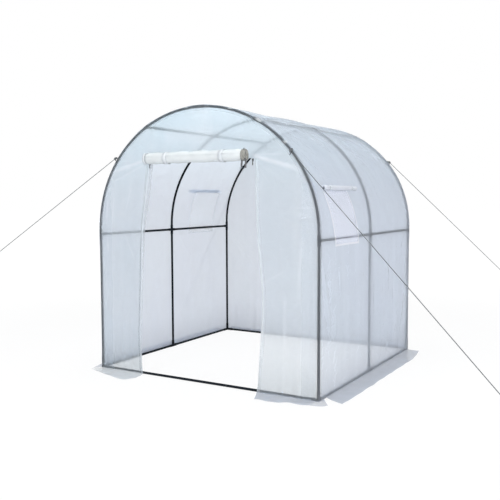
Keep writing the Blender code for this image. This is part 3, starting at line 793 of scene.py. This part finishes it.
def build_hoop_tabs_and_glints():
    """Small pale patches of film over the front hoop, partly welded patches and partly painted
    highlights of glints on the hoop, and a dark one over the joint of the right purlin with the
    mid hoop."""
    for index, (x, wide) in enumerate(((-0.79, 0.030), (-0.10, 0.026), (0.27, 0.030),
                                       (0.50, 0.050), (0.70, 0.024))):
        angle = math.acos(x / (HALF_WIDTH + FILM))
        place = math.copysign(run_at(SPRING + (RISE + FILM) * math.sin(angle)), x)
        lay_on_cover(f"hoop_glint_tab_{index}", -HALF_DEPTH + np.linspace(-0.0165, 0.020, 9),
                     place + np.linspace(-wide / 2, wide / 2, 5), 0.0009, (wide, 0.038), HEM_TAPE)
    lay_on_cover("joint_patch", np.linspace(-0.012, 0.012, 5),
                 TUBE_RUNS[0] + np.linspace(-0.055, 0.0, 8), 0.0010, (0.024, 0.055),
                 DARK_WEBBING)


def build_zip(side_name, edge, inward):
    """A zip along one side of the doorway: a pale welt on the edge, the teeth and their seam
    beside it, and a slider parked at the top."""
    def beside_edge(inset, height, lift):
        return on_front(smooth_line(edge, height) - inward * inset, height, lift)

    left = inward > 0
    broad = 0.015 + left * np.interp(ZIP_ROWS, (0.9, 1.3), (0.0, 0.020))
    crown = ((0.0, 0.0), (0.15, 0.0020), (0.5, 0.0028), (0.85, 0.0020), (1.0, 0.0))
    welt = strip(f"door_welt_{side_name}",
                 [beside_edge(share * broad - 0.001, ZIP_ROWS, 0.0008 + lift)
                  for share, lift in crown], WELT, not left)
    places = np.arange(0.012, DOOR_TOP - 0.02, TOOTH_STEP)
    teeth = beside_edge(0.0200, places, 0.0018)
    along = unit(beside_edge(0.0200, places + 0.001, 0.0018) - teeth)
    box_run(f"zip_teeth_{side_name}", teeth, along, np.cross(along, (0.0, -1.0, 0.0)), TOOTH,
            ZIP_TEETH if left else STRAP)
    sew_along(f"zip_seam_{side_name}", lambda height: beside_edge(0.0275, height, 0.0012),
              np.arange(0.02, DOOR_TOP - 0.02, STITCH_STEP))
    parked = beside_edge(-0.004 if left else -0.016, np.array([DOOR_TOP - 0.012]), 0.002)
    build_slider(side_name, parked[0])


def build_zip_tape_and_shade():
    """The left zip's tape, which turns into the doorway at the top. Its grey, broad near the top,
    is partly the tape's own colour and partly painted shade of the door's curled edge.
    """
    reach = np.interp(ZIP_ROWS, (0.75, 1.25, 1.6), (0.004, 0.028, 0.030))
    edge = smooth_line(LEFT_EDGE, ZIP_ROWS) - 0.002
    tape = strip("zip_tape_and_shade", [on_front(edge + reach * share, ZIP_ROWS, -0.004 * share)
                              for share in np.linspace(0, 1, 5)], ZIP_TAPE_AND_SHADE)


def build_slider(side_name, place):
    """A zip slider with a pull on a ring."""
    plate(f"zip_slider_{side_name}", place - (0, 0.0022, 0), 0.0042,
          ((0.0052, 0.010), (0.0062, 0.002), (0.0040, -0.010)))
    plate(f"zip_pull_{side_name}", place - (0, 0.0062, 0), 0.0014,
          ((0.0030, -0.008), (0.0042, -0.030), (0.0028, -0.036)))


def plate(name, place, thickness, half):
    """A small upright plate with rounded edges; half is the right half of its outline."""
    x, z = np.array([*half, *((-x, z) for x, z in half[::-1])]).T
    rings = [np.stack([x * scale, 0 * x - depth * thickness,
                       z * scale + z.mean() * (1 - scale)], 1)
             for depth, scale in ((0.5, 0.82), (0.42, 0.94), (0.25, 1.0), (-0.25, 1.0),
                                  (-0.42, 0.94), (-0.5, 0.82))]
    add_tube(name, np.array(rings) + place, SLIDER, smooth=False)


def box_run(name, centres, along, across, size, finish):
    """Many small blocks as one piece: teeth or stitches. size is along, across, out."""
    axes = np.stack([along, across, np.cross(along, across)], 1)
    corners = np.array([(a, b, c) for a in (-1, 1) for b in (-1, 1) for c in (-1, 1)]) / 2
    points = centres[:, None] + (corners * size) @ axes
    cube = np.array([(0, 1, 3, 2), (4, 6, 7, 5), (0, 4, 5, 1), (2, 3, 7, 6), (0, 2, 6, 4),
                     (1, 5, 7, 3)])
    faces = (cube[None] + 8 * np.arange(len(centres))[:, None, None]).reshape(-1, 4)
    add_piece(name, points, faces, finish, smooth=False)


# ---------------------------------------------------------------- rolled pieces

def rolled_sheet(name, start, end, finish, radius, core, turns, squeeze, seed):
    """A sheet rolled up between two points round a hollow core, drawn in a little where its
    ties are and more at its ends."""
    start, end = Vector(start), Vector(end)
    length = (end - start).length
    axis = (end - start).normalized()
    up = Vector((0, 0, 1))
    out = axis.cross(up)
    share = 0.5 - 0.5 * np.cos(np.linspace(0, math.pi, max(40, round(length / 0.010))))
    turn = np.linspace(0, 2 * math.pi * turns, round(44 * turns))
    layer = turn / (2 * math.pi)
    turn, share = np.meshgrid(turn, share)
    outer = turn / turn[0, -1]
    reach = core + (radius - core) * outer
    reach = reach * (1 - 0.03 * outer * (1 + ripples(share * length, turn * radius, 0.09, seed)))
    pinch = sum(np.exp(-((share - place) * length / 0.018) ** 2) for place in squeeze)
    reach = reach * (1 - 0.16 * pinch * outer)
    from_end = np.minimum(share, 1 - share) * length
    reach = reach * (1 - 0.30 * np.exp(-(from_end / (0.22 * radius)) ** 2))
    stagger = 0.004 * ripples(layer * 0.3, 0 * layer, 0.5, seed + 3)
    along = share * length + stagger * (2 * share - 1)
    points = np.array(start) + along[..., None] * np.array(axis) + about_line(
        reach, turn - turn[0, -1] + 0.9 * math.pi, np.array(out), np.array(up))
    return add_piece(name, points, lattice(*share.shape), finish)


def build_door_roll():
    """The door panel, rolled up outwards against the gable."""
    length = ROLL_RIGHT - ROLL_LEFT
    roll = rolled_sheet("door_panel", (ROLL_RIGHT, *ROLL[1:]), (ROLL_LEFT, *ROLL[1:]),
                        DOOR_FILM, ROLL_RADIUS - 0.003, core=0.006, turns=8.6,
                        squeeze=(0.020 / length, 1 - 0.022 / length), seed=5)
    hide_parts("door_roll")


def wrap(name, centre, axis, finish, radius, width, thickness, turns=1.0):
    """A flat band round something, with its end lapped over."""
    side, up = crosswise(axis)
    turn = np.linspace(0, 2 * math.pi * turns * 1.12, round(40 * turns))
    reach = radius + thickness * turn / (2 * math.pi)
    rows = [np.array(centre) + share * width * np.array(axis)
            + about_line(reach + lift * thickness * 0.8, turn, side, up)
            for share, lift in ((-0.5, 0.0), (0.5, 0.0), (0.5, 1.0), (-0.5, 1.0))]
    return add_tube(name, np.stack(rows, 1), finish)


def tube_along(name, path, radius, sides=7, strands=0, twist=0.0):
    """A rope along points, round or laid of some strands that turn by twist each metre."""
    tangent = unit(np.gradient(path, axis=0))
    side = crosswise(tangent[0])[0]
    carried = []
    for line in tangent:
        side = unit(side - line * side.dot(line))
        carried.append(side)
    side = np.array(carried)
    up = np.cross(tangent, side)
    angle = np.linspace(0, 2 * math.pi, sides, endpoint=False)
    length = np.concatenate([[0], np.cumsum(np.linalg.norm(np.diff(path, axis=0), axis=1))])
    swell = 1 + 0.16 * np.cos(strands * angle) if strands else 1.0
    rings = path[:, None] + about_line(radius * swell, angle + (twist * length)[:, None],
                                       side[:, None], up[:, None])
    return add_tube(name, rings, ROPE)


def build_door_ties():
    """A tie round each end of the rolled door: a plain band, and a gathered one."""
    y, z = ROLL[1:]
    along_x = (1, 0, 0)
    band = wrap("door_tie_band_left", (ROLL_LEFT + 0.022, y, z), along_x, STRAP,
                ROLL_RADIUS * 0.88, width=0.018, thickness=0.0016)
    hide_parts("door_tie_left")
    band = wrap("door_tie_band_right", (ROLL_RIGHT - 0.002, y, z), along_x, WEBBING,
                ROLL_RADIUS * 0.76, width=0.020, thickness=0.0020, turns=2.2)
    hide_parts("door_tie_right")


def build_tie_bunch():
    """The right tie's bunched loops and its two tails."""
    y, z = ROLL[1:]
    right = ROLL_RIGHT + 0.016
    dice = np.random.default_rng(12)
    turn = np.linspace(0, 2 * math.pi, 30)
    for index in range(5):
        tilt = dice.uniform(-0.5, 0.5)
        wide, tall = dice.uniform(0.008, 0.016), dice.uniform(0.030, 0.044)
        loop = np.stack([right + wide * np.cos(turn) * 0.8 + tilt * tall * np.sin(turn) * 0.3,
                         y - 0.020 - index * 0.006 + 0.010 * np.sin(turn * 2 + index),
                         z + tall * np.sin(turn) * 0.9], 1)
        ribbon(f"door_tie_loop_{index}", loop, 0.016, (WEBBING, DARK_WEBBING)[index == 2],
               index * 0.9)
    share = np.linspace(0, 1, 24)
    for index, (foot_x, foot_z, sway) in enumerate(((0.419, 1.560, 0.2), (0.449, 1.552, -0.2))):
        tail = np.stack([foot_x + 0.003 * np.sin(share * 5 + sway), y - 0.044 + 0.012 * share,
                         z - 0.022 + (foot_z - z + 0.022) * share], 1)
        ribbon(f"door_tie_tail_{index}", tail, 0.013, DARK_WEBBING, sway)


def build_roll_bands():
    """Two pale bands round the rolled door, where it is sewn double."""
    for index, x in enumerate((-0.235, 0.245)):
        wrap(f"door_roll_band_{index}", (x, *ROLL[1:]), (1, 0, 0), STRAP, ROLL_RADIUS * 0.918,
             width=0.034, thickness=0.0008)


def ribbon(name, path, width, finish, twist, thickness=0.0012):
    """A flat narrow band along a path, with a slow twist."""
    tangent = unit(np.gradient(path, axis=0))
    turn = twist + np.linspace(0, 0.9, len(path))
    side = np.stack([np.cos(turn), np.sin(turn) * 0.6, 0.3 * np.sin(turn)], 1)
    side = unit(side - tangent * np.sum(side * tangent, 1)[:, None])
    up = np.cross(tangent, side)
    corners = [(-0.5, -0.5), (0.0, -0.65), (0.5, -0.5), (0.5, 0.5), (0.0, 0.65), (-0.5, 0.5)]
    rings = np.stack([path + across * width * side + out * thickness * up
                      for across, out in corners], 1)
    add_tube(name, rings, finish)


# ---------------------------------------------------------------- windows

def build_window(side_name, side):
    """A net sewn in behind its opening, four hems, and the flap rolled up above it and tied."""
    start, end, sill, head = window_box(side_name)
    seen = side > 0                 # the left one's hems are faint, and its net ends sooner
    lap = WINDOW_HEM if seen else 0.004
    net = lay_on_cover(f"net_{side_name}", stops([start - lap, start, end, end + lap], 0.010),
                       side * stops([head - lap, head, sill, sill + lap], 0.010), -0.0012,
                       (end - start + 2 * lap, sill - head + 2 * lap), NET[side_name])
    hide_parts(f"window_net_{side_name}")
    whole = start - WINDOW_HEM, end + WINDOW_HEM
    for part, ys, runs in (("sill", whole, (sill - HEM_OVERLAP, sill + WINDOW_HEM)),
                           ("near", (start - WINDOW_HEM, start + HEM_OVERLAP), (head, sill)),
                           ("far", (end - HEM_OVERLAP, end + WINDOW_HEM), (head, sill)),
                           ("head", whole, (head - WINDOW_HEM, head + HEM_OVERLAP))):
        lay_on_cover(f"window_hem_{part}_{side_name}", stops(ys, 0.011), side * stops(runs, 0.011),
                     0.0010, (ys[1] - ys[0], runs[1] - runs[0]),
                     HEM_TAPE if seen else FAINT_HEM)
    flap = f"window_flap_{side_name}"
    x, y, z = middle(flap)
    radius = (high(flap).z - low(flap).z) / 2
    shift = float(leaning(y, side, z))
    near, far = low(flap).y + min(shift, 0), high(flap).y + max(shift, 0)
    first, last = (x, near, z), (x, far, z)
    ties = 0.14, 0.86
    # The left roll takes the clearer, paler copy of the flap film, painted light where it lies in
    # shade.
    roll = rolled_sheet(f"window_roll_{side_name}", *((first, last) if seen else (last, first)),
                        FLAP_FILM if seen else CLEAR_PAINTED_LIGHT_FLAP, radius, core=0.003, turns=6.5,
                        squeeze=ties, seed=7 + side)
    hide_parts(flap)
    for index, share in enumerate(ties):
        wrap(f"window_tie_{side_name}_{index}", (x, near + share * (far - near), z), (0, 1, 0),
             STRAP, radius * 0.88, width=0.016, thickness=0.0012)


# ---------------------------------------------------------------- ground flaps

def build_flap(place, inner, outer, seed, finish):
    """A flap of film on the ground between two lines of as many corners each; the outer line's
    corners are rounded."""
    reach = np.linalg.norm(np.diff(inner + outer, axis=0), axis=1) / 2
    marks = np.concatenate([[0], np.cumsum(reach)])
    runs = stops(marks, 0.012)
    inside, outside = (np.stack([np.interp(runs, marks, line[:, axis]) for axis in (0, 1)], 1)
                       for line in (inner, outer))
    for _ in range(5):
        outside[1:-1] = (outside[:-2] + 2 * outside[1:-1] + outside[2:]) / 4
    across = outside - inside
    width = np.linalg.norm(across, axis=1)
    share = np.linspace(0, 1, 14)[:, None]
    edge = 1 + 0.0016 * ripples(runs, 0 * runs, 0.22, seed) / width
    x, y = (inside[:, axis] + share * across[:, axis] * edge for axis in (0, 1))
    lift = 0.0025 + 0.0016 * (1 + ripples(runs[None], share * 0.15, 0.16, seed + 1)) * share
    lift = lift + 0.0008 * (0.8 + crumples(x, y, 0.05, seed + 2)) + 0.008 * np.exp(-share / 0.06)
    flap = add_piece(f"flap_{place}", np.stack([x, y, np.maximum(lift, 0.0012)], -1),
                     lattice(*x.shape), finish)
    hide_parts(f"skirt_{place}")


def build_flaps():
    """A flap along each wall. The front ones' outer corners are where they lie askew."""
    wall_x, wall_y = HALF_WIDTH + FILM, HALF_DEPTH + FILM
    right, back = high("skirt_right").x - 0.001, high("skirt_back").y - 0.001
    for place, seed, finish, inner, outer in (
            ("right", 62, PAINTED_SHADE_GROUND_FILM,
             [(wall_x, -0.82), (wall_x, -0.60), (wall_x, 0.60), (wall_x, wall_y - 0.01)],
             [(right - 0.004, -0.90), (right, -0.60), (right, 0.60), (1.064, wall_y - 0.02)]),
            ("left", 60, PAINTED_SHADE_GROUND_FILM,
             [(-wall_x, -wall_y + 0.01), (-wall_x, -0.80), (-wall_x, -0.45),
              (-wall_x, wall_y - 0.01)],
             [(-1.003, -wall_y - 0.06), (-1.045, -0.82), (0.004 - right, -0.45),
              (-right, wall_y)]),
            ("back", 71, PAINTED_SHADE_GROUND_FILM,
             [(-wall_x, wall_y), (0.5, wall_y), (wall_x - 0.02, wall_y)],
             [(-1.0, back), (0.5, back), (0.90, back)]),
            ("front_left", 80, PAINTED_LIGHT_GROUND_FILM,
             [(-wall_x, -wall_y), (-0.70, -wall_y), (-0.58, -wall_y), (LEFT_EDGE[0][1], -wall_y)],
             [(-1.001, -1.010), (-0.66, -1.122), (-0.535, -1.144), (-0.500, -1.050)]),
            ("front_right", 82, PAINTED_SHADE_GROUND_FILM,
             [(RIGHT_EDGE[0][1], -wall_y), (0.80, -wall_y), (wall_x, -wall_y),
              (wall_x + 0.004, -0.86)],
             [(0.553, -1.096), (0.80, -1.060), (1.030, -1.000), (1.044, -0.985)])):
        build_flap(place, np.array(inner), np.array(outer), seed, finish)


# ---------------------------------------------------------------- ropes

# A rope is tied to the hoop by its knot, up along the hoop from where it leaves it.
TIED_AT = {"front_right": np.array([0.7400, -0.9420, 1.6640]),
           "back_right": np.array([0.7560, 0.9260, 1.6720])}


def rope_ends(node):
    """The middle of a rope's points at the hoop, and of those at the peg. Rings of points lie
    along it, with gaps of more than 20 mm between them."""
    points = np.array([v.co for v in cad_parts[node].data.vertices])
    top, foot = points[points[:, 2].argmax()], points[points[:, 2].argmin()]
    along = (points - top) @ unit(foot - top)
    order = np.argsort(along)
    rings = np.split(points[order], np.where(np.diff(along[order]) > 0.02)[0] + 1)
    return rings[0].mean(0), rings[-1].mean(0)


def build_rope(row, side_name):
    """A taut three-strand guy rope, tied round the hoop at its top and a peg at its foot."""
    name = f"{row}_{side_name}"
    first, last = rope_ends(f"guy_rope_{name}")
    first, last = TIED_AT.get(name, first), last + (0, 0, 0.012)
    line = np.linspace(first, last, round(np.linalg.norm(last - first) / 0.004))
    rope = tube_along(f"rope_{name}", line, ROPE_RADIUS, sides=9, strands=3,
                      twist=2 * math.pi / ROPE_LAY)
    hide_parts(f"guy_rope_{name}")
    down = unit(last - first)
    build_knot(f"rope_knot_top_{name}", first, down)
    build_knot(f"rope_knot_foot_{name}", last - down * 0.030, -down)
    side = math.copysign(1, first[0])
    tilt = math.atan2((first[2] - SPRING) / RISE, abs(first[0]) / HALF_WIDTH)
    hoop = (side * HALF_WIDTH * math.cos(tilt), HOOPS[row], SPRING + RISE * math.sin(tilt))
    ahead = (-side * HALF_WIDTH * math.sin(tilt), 0.0, RISE * math.cos(tilt))
    build_loop(f"rope_loop_top_{name}", hoop, ahead, FILM + 0.0026, 0.0042)
    build_loop(f"rope_loop_foot_{name}", last, (0.0, 0.0, 1.0), 0.0060, 0.0050)


def build_knot(name, place, down):
    """A small hard knot: a strand wound about the rope, and its short end."""
    turn = np.linspace(0, 2 * math.pi * 3.6, 110)
    share = turn / turn[-1]
    side = unit(np.cross(down, (0, 0, 1)))
    up = np.cross(side, down)
    path = place + down * (0.004 + 0.020 * share)[:, None] + about_line(
        0.0042 + 0.0035 * np.sin(math.pi * share), turn, side, up)
    short = path[-1] + np.linspace(0, 1, 8)[1:, None] * (up * -0.020 + side * 0.008)
    tube_along(name, np.concatenate([path, short]), 0.0027)


def build_loop(name, place, along, radius, pitch):
    """Two turns of rope round a tube or a peg."""
    along = unit(np.array(along))
    turn = np.linspace(0, 2 * math.pi * 2.1, 70)
    path = (np.array(place) + (pitch * (turn / (2 * math.pi) - 1))[:, None] * along
            + about_line(radius, turn, *crosswise(along)))
    tube_along(name, path, 0.0023)


# ---------------------------------------------------------------- the frame's finishes

def finish_frame():
    """The finishes of the frame's own tubes, joints and pegs."""
    for name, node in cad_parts.items():
        joint = name.startswith(("corner_elbow", "base_tee"))
        finish = JOINT_STEEL if joint else PEG_STEEL if name.startswith("peg") else TUBE_STEEL
        for slot in node.material_slots:
            slot.material = finish


# ---------------------------------------------------------------- studio

def build_studio():
    """A white floor and sky, and four large soft lamps aimed at the greenhouse."""
    scene = bpy.context.scene
    scene.view_settings.view_transform = "Standard"
    corners = [(x, y, -0.001) for x, y in ((-60, -60), (60, -60), (60, 60), (-60, 60))]
    add_mesh("floor", corners, [(0, 1, 2, 3)], floor_finish())

    sky = Finish("studio", bpy.data.worlds, "ShaderNodeOutputWorld")
    soft = sky.node("Background", {}, {"Color": (0.93, 0.96, 1.0), "Strength": 0.32})
    white = sky.node("Background", {}, {"Color": (1, 1, 1), "Strength": 1.0})
    scene.world = sky.surface(sky.mix(seen_directly(sky), soft, white))

    for name, place, power in (("key", (-1.0, -7.5, 4.5), 200), ("side", (4.5, -6.5, 3.0), 190),
                               ("right", (7.0, -2.0, 3.5), 130), ("top", (0.0, 0.0, 7.0), 220)):
        lamp = bpy.data.lights.new(name, "AREA")
        lamp.size, lamp.energy = 4.0, power
        item = put(name, lamp)
        item.location = place
        aim = Vector((0, 0, 0.9)) - Vector(place)
        item.rotation_euler = aim.to_track_quat("-Z", "Y").to_euler()


def build_camera():
    """A camera at standing height, in front of the right corner."""
    yaw, pitch, roll = (math.radians(v) for v in (30.53, -4.10, -0.19))
    forward = Vector((-math.sin(yaw) * math.cos(pitch), math.cos(yaw) * math.cos(pitch),
                      math.sin(pitch)))
    right = Vector((math.cos(yaw), math.sin(yaw), 0))
    up = right.cross(forward)
    turned = math.cos(roll) * right + math.sin(roll) * up
    tall = -math.sin(roll) * right + math.cos(roll) * up
    data = bpy.data.cameras.new("camera")
    data.lens, data.sensor_width = 49.93, 36.0
    data.shift_x, data.shift_y = -0.0042, -0.0037
    camera = put("camera", data)
    axes = Matrix((turned, tall, -forward)).transposed()
    camera.matrix_world = Matrix.Translation((2.85970, -5.02497, 1.34675)) @ axes.to_4x4()
    bpy.context.scene.camera = camera


build_camera()
build_studio()
finish_frame()
build_cover()
build_front()
build_back()
build_front_hem()
build_hoop_tabs_and_glints()
build_zip("left", LEFT_EDGE, 1)
build_zip("right", RIGHT_EDGE, -1)
build_zip_tape_and_shade()
build_door_roll()
build_door_ties()
build_tie_bunch()
build_roll_bands()
for window_side, side_sign in SIDES.items():
    build_window(window_side, side_sign)
build_flaps()
for rope_row in ("front", "back"):
    for rope_side in SIDES:
        build_rope(rope_row, rope_side)
